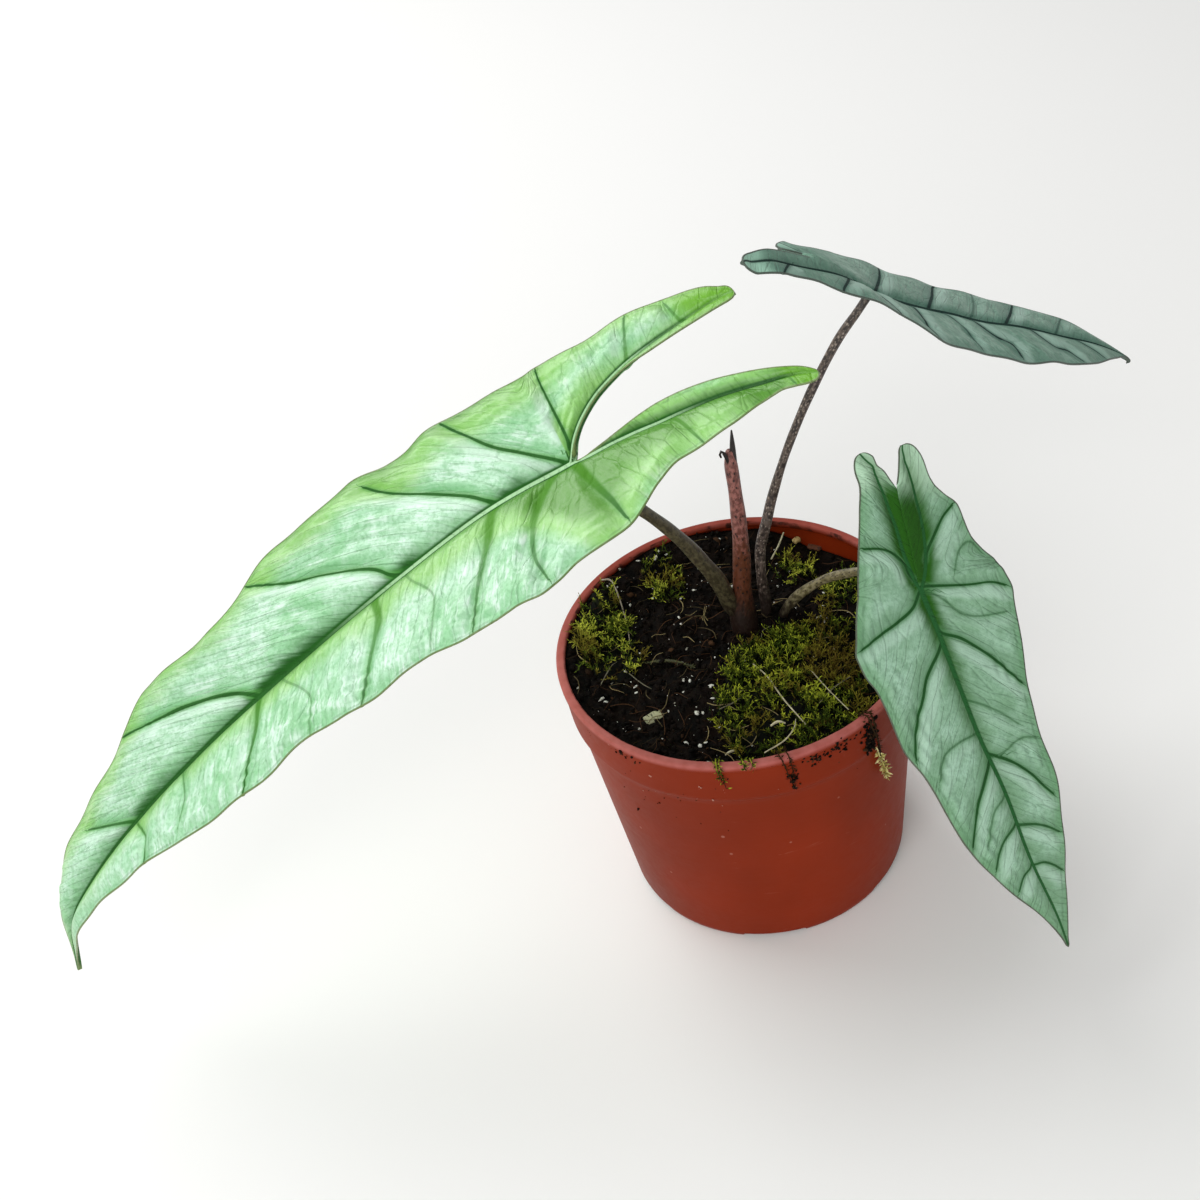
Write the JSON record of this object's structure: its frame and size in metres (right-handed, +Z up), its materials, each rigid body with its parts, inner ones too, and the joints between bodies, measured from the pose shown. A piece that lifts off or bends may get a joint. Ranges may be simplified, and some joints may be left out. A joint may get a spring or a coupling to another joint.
{
  "type": "potted corazon alocasia",
  "caption": "Young alocasia with long arrow-shaped leaves and a rolled new leaf, growing from mossy soil in a round nursery pot.",
  "frame": {"origin": "on the ground under the middle of the pot's foot", "axes": "+Z up the pot, -X along the long leaf that leans out, -Y towards the viewer of the picture"},
  "size_m": [0.3979, 0.1643, 0.2459],
  "materials": {
    "pot_plastic": "smooth moulded plastic, a dull sheen",
    "soil": "moist crumbly peat mix with perlite",
    "rhizome_skin": "rough fibrous skin",
    "big_leaf_green": "thin, glossy, silvery pale green with dark veins",
    "upper_leaf_green": "thin, satin, grey-green with dark veins",
    "right_leaf_green": "thin, satin, pale grey-green with dark veins",
    "stalk": "satin, mottled olive and brown",
    "sheath": "satin, pinkish brown with dark specks",
    "moss": "soft and tufted",
    "straw": "dry and fibrous"
  },
  "bodies": {
    "root": {"nursery_pot": "pot_plastic", "potting_soil": "soil", "rhizome": "rhizome_skin", "big_leaf_blade": "big_leaf_green", "big_leaf_petiole": "stalk", "upper_leaf_blade": "upper_leaf_green", "upper_leaf_petiole": "stalk", "right_leaf_blade": "right_leaf_green", "right_leaf_petiole": "stalk", "new_leaf_spike": "sheath", "moss_right": "moss", "moss_left": "moss", "moss_mid_left": "moss", "moss_back": "moss", "moss_right_back": "moss", "dry_rootlet_left": "straw", "mossy_root": "moss", "straw_back": "straw", "straw_front": "straw"}
  },
  "joints": []
}
